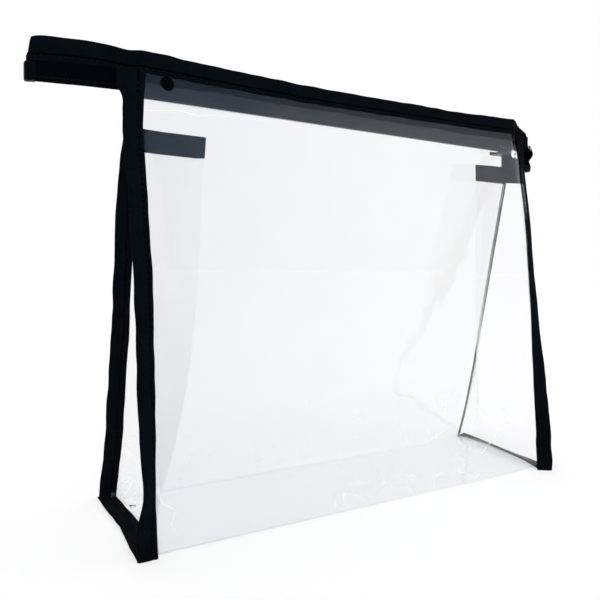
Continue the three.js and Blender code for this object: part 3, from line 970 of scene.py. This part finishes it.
def coil_height(x):
    """Middle of the coil: level where the slider runs, and tucked up inside the tails."""
    tucked = curve(TAPE_LINE["front"], x) + 1.5
    return mix(ZIP_LEVEL + COIL_LIFT, tucked, smooth((abs(x) - MOUTH_STRAIGHT) / 10))


def tape_section(face, x):
    """A tape as (y, z) points: down inside its binding, then turned in to the coil."""
    half = mouth_half(x) - 0.15
    foot = curve(FOOT_LINE, x)
    low = curve(TAPE_LINE[face], x) + 0.25
    level = max(coil_height(x), low) if mouth_half(x) < 3 else coil_height(x)
    inner = min(2.2, half - 0.25)
    turn = min(2.4, half - inner - 0.02)
    points = [(half, foot + 3.5), (half, foot), (half, mix(foot, low + 3, 0.5)),
              (half, low + turn + 0.1)]
    for t in steps(0, 1, 5):
        a = t * math.pi / 2
        points.append((half - turn * (1 - math.cos(a)), low + turn * (1 - math.sin(a))))
    end = mix(low + 0.1, level, smooth((half - inner - 0.5) / 1.5))
    points += [(mix(half - turn, inner, 0.5), mix(low, end, 0.5)), (inner, end)]
    return points


def tape_solid(face, low, high):
    sign = face_sign(face)
    rows = []
    for x in steps(low, high, int((high - low) / step_along(low))):
        row = []
        for y, z in tape_section(face, x):
            drift = 0.35 * wobble(91 + sign, x / 22, z / 9) * clamp((BINDING_FOOT - z) / 6)
            row.append(fold_over(Vector((x, sign * (y + drift * 0.5), z))))
        rows.append(row)
    return grid_solid(rows, TAPE_THICKNESS)


def coil_solid(face, low, high):
    """The nylon coil: a flattened spiral whose loops reach past the middle between the other's."""
    sign = face_sign(face)
    pitch = 1.5
    phase = 0.0 if sign < 0 else 0.5
    turns = int((high - low) / pitch)
    per_turn = 12
    centre, reach, rise, wire = 1.0, 1.15, 0.75, 0.24
    line = []
    for i in range(turns * per_turn + 1):
        t = i / per_turn + phase
        angle = 2 * math.pi * t
        x = low + (i / per_turn + phase * 0.9) * pitch + 0.1 * math.sin(angle)
        if x > high:
            break
        side = centre + reach * math.cos(angle) * 0.95
        line.append(Vector((x, sign * side, coil_height(x) + rise * math.sin(angle))))
    rings = []
    for i, point in enumerate(line):
        ahead = (line[min(i + 1, len(line) - 1)] - line[max(i - 1, 0)]).normalized()
        side = ahead.cross(Vector((1, 0, 0))).normalized()
        up = side.cross(ahead)
        ring = [point + side * wire * math.cos(a) + up * wire * math.sin(a)
                for a in (k * math.pi / 2.5 for k in range(5))]
        rings.append([fold_over(p) for p in ring])
    return tube(rings)


def slot_tool():
    """A tool for the round-ended opening through the folded right tail."""
    outline = []
    for i in range(28):
        turn = 2 * math.pi * i / 28
        x = SLOT_X[1 if math.cos(turn) >= 0 else 0] + SLOT_RADIUS * math.cos(turn)
        outline.append((x, SLOT_Z + SLOT_RADIUS * math.sin(turn)))
    rings = [[Vector((x, y, z)) for x, z in outline] for y in (CREASE_RADIUS, 14.0)]
    return make("slot_tool", tube(rings), [HEM])


def cap_solid(end, outwards):
    """A pinched black cap over the end of the tape, with a wrinkle across it."""
    rings = []
    for t in steps(0, 1, 12):
        x = end + outwards * mix(CAP_FROM, CAP_TO, t)
        close = 1.0
        if t > CAP_CLOSES:
            close = math.sqrt(clamp(1 - (clamp((t - CAP_CLOSES) / 0.28)) ** 2))
        low, high = curve(TAPE_LINE["front"], x) - 0.35, curve(FOOT_LINE, x) + 0.3
        half = TAIL_HALF + 0.85
        ring = []
        for i in range(28):
            a = 2 * math.pi * i / 28
            cy, cz = math.cos(a), math.sin(a)
            y = half * math.copysign(abs(cy) ** 0.5, cy)
            z = (high - low) / 2 * math.copysign(abs(cz) ** 0.35, cz)
            across = math.exp(-((z + 1) / 3.5) ** 2)
            wrinkle = 0.38 * math.sin((x * outwards * 1.1 + z * 0.9)) * across
            y = y * mix(0.45, 1, close) + math.copysign(wrinkle, cy) * abs(cy)
            ring.append(fold_over(Vector((x, y, (low + high) / 2 + z * mix(0.82, 1, close)))))
        rings.append(ring)
    return tube(rings)


def make_zip_strips():
    cloth = strip_pair("top_binding_cloth", binding_solid, [BINDING],
                       ["{face}_top_binding", "left_tail_{face}_binding"],
                       ["right_tail_{face}_binding"])
    thread = strip_pair("top_binding_stitches", binding_stitches, [THREAD], [], [])
    tapes = strip_pair("zip_tape_cloth", tape_solid, [TAPE],
                       ["{face}_zip_tape", "left_tail_{face}_tape"], ["right_tail_{face}_tape"])
    coils = []
    for face in ("front", "back"):
        main_nodes, tail_nodes = [f"{face}_zip_coil"], []
        if face == "front":
            main_nodes, tail_nodes = main_nodes + ["left_tail_coil"], ["right_tail_coil"]
        main = make(f"{face}_coil_spiral", coil_solid(face, LEFT_END + 1, RIGHT_SPLIT), [COIL],
                    stands_for=main_nodes, angle=80)
        bend(main, "left_tail")
        coils.append(make(f"{face}_coil_spiral_right_tail",
                          coil_solid(face, RIGHT_SPLIT, RIGHT_END - 1), [COIL],
                          stands_for=tail_nodes, angle=80))
    tool = slot_tool()
    for tail in cloth + tapes:
        cut(tail, tool)
    bpy.data.objects.remove(tool)
    for tail in cloth + thread + tapes + coils:
        bend(tail, "right_tail")
    make("left_tail_cap_cover", cap_solid(LEFT_END, -1), [HEM], "left_tail",
         ["left_tail_end_cap"], 70)
    make("right_tail_cap_cover", cap_solid(RIGHT_END, 1), [HEM], "right_tail",
         ["right_tail_end_cap"], 70)


# ------------------------------------------------ slider and puller

def make_metal(node_name, piece_name, body, width):
    """The CAD shape with its edges rounded over. The width is in millimetres."""
    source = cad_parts[node_name]
    piece = bpy.data.objects.new(piece_name, source.data.copy())
    bpy.context.scene.collection.objects.link(piece)
    piece.data.materials.clear()
    piece.data.materials.append(METAL)
    weld = piece.modifiers.new("weld", "WELD")
    weld.merge_threshold = 0.00002
    bevel = piece.modifiers.new("bevel", "BEVEL")
    bevel.width = width * MM
    bevel.segments = 3
    bevel.limit_method = "ANGLE"
    apply_modifiers(piece)
    piece.data.shade_smooth()
    piece.data.set_sharp_from_angle(angle=math.radians(35))
    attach(piece, body)
    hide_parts(node_name)


# ------------------------------------------------ loose thread

CURL_RADIUS = 0.22


def make_loose_thread():
    """A curled thread end at the back corner of the left base binding."""
    points = []
    for t in steps(0, 1, 18):
        angle = t * 7
        sway = 1.1 * math.cos(angle) * (1 - 0.4 * t)
        points.append(Vector((-131.2 + sway + 3.2 * t, 17.4 + 0.8 * math.sin(angle),
                              2.0 + 1.6 * math.sin(3 * t))))
    rings = []
    for i, point in enumerate(points):
        ahead = (points[min(i + 1, len(points) - 1)] - points[max(i - 1, 0)]).normalized()
        side = ahead.orthogonal().normalized()
        up = ahead.cross(side)
        rings.append([point + (side * math.cos(a) + up * math.sin(a)) * CURL_RADIUS
                      for a in (k * math.pi / 3 for k in range(6))])
    make("thread_end_at_base", tube(rings), [THREAD], "bag")


# ------------------------------------------------ build

make_wrap()
for side_name, side_end in (("left", -1), ("right", 1)):
    make_gusset(side_name, side_end)
    for side_face in ("front", "back"):
        make_side_binding(side_name, side_end, side_face)
    make_base_binding(side_name, side_end)
make_zip_strips()
make_metal("zip_slider", "slider_body_metal", "slider", 0.35)
make_metal("zip_puller", "puller_tag_metal", "puller", 0.3)
make_loose_thread()


# ------------------------------------------------ floor, light and camera

MIDDLE = Vector((0, 0, 0.12))                  # what the lights point at, in metres
CAMERA_AT = Vector((-0.2067, -0.3031, 0.1398))
CAMERA_TURNS = (29.388, -3.961, 1.043)         # yaw to the right of +y, pitch and roll, in degrees
CAMERA_LENS = 35.64

def make_stage():
    bpy.ops.mesh.primitive_plane_add(size=12, location=(0, 0, 0))
    floor = bpy.context.object
    floor.name = "floor"
    material, tree = blank("pale_floor")
    tone = ramp(tree, blotches(tree, 6.0), (0.380, 0.380, 0.382), (0.394, 0.394, 0.396))
    shader = node(tree, "ShaderNodeBsdfPrincipled", {
        "Base Color": tone, "Roughness": 0.9, "Specular IOR Level": 0.1,
        "Emission Color": (1, 1, 1, 1), "Emission Strength": 0.60,
    })
    node(tree, "ShaderNodeOutputMaterial", {"Surface": shader.outputs[0]})
    floor.data.materials.append(material)


def make_light(name, at, size, power):
    data = bpy.data.lights.new(name, "AREA")
    data.shape = "SQUARE"
    data.size = size
    data.energy = power
    light = bpy.data.objects.new(name, data)
    bpy.context.scene.collection.objects.link(light)
    light.visible_glossy = False
    light.location = at
    aim = MIDDLE - Vector(at)
    light.rotation_euler = aim.to_track_quat("-Z", "Y").to_euler()


def make_world():
    world = bpy.data.worlds.new("studio")
    world.use_nodes = True
    tree = world.node_tree
    tree.nodes.clear()
    shade = node(tree, "ShaderNodeBackground", {"Color": (1, 1, 1, 1), "Strength": 1.0})
    node(tree, "ShaderNodeOutputWorld", {"Surface": shade.outputs[0]})
    bpy.context.scene.world = world


def make_camera():
    yaw, pitch, roll = (math.radians(a) for a in CAMERA_TURNS)
    level = math.cos(pitch)
    ahead = Vector((math.sin(yaw) * level, math.cos(yaw) * level, math.sin(pitch)))
    right = ahead.cross(Vector((0, 0, 1))).normalized()
    up = right.cross(ahead)
    turned_right = right * math.cos(roll) + up * math.sin(roll)
    turned_up = up * math.cos(roll) - right * math.sin(roll)
    data = bpy.data.cameras.new("camera")
    data.lens = CAMERA_LENS
    data.sensor_width = 36.0
    data.clip_start = 0.01
    data.dof.use_dof = False
    camera = bpy.data.objects.new("camera", data)
    bpy.context.scene.collection.objects.link(camera)
    matrix = Matrix((turned_right, turned_up, -ahead)).transposed().to_4x4()
    matrix.translation = CAMERA_AT
    camera.matrix_world = matrix
    bpy.context.scene.camera = camera


make_stage()
make_world()
make_light("softbox_right", (1.1, -0.95, 0.75), 0.9, 3.0)
make_light("softbox_top", (-0.2, 0.2, 1.8), 1.6, 1.5)
make_camera()
bpy.context.scene.view_settings.view_transform = "Standard"
bpy.context.scene.view_settings.look = "None"
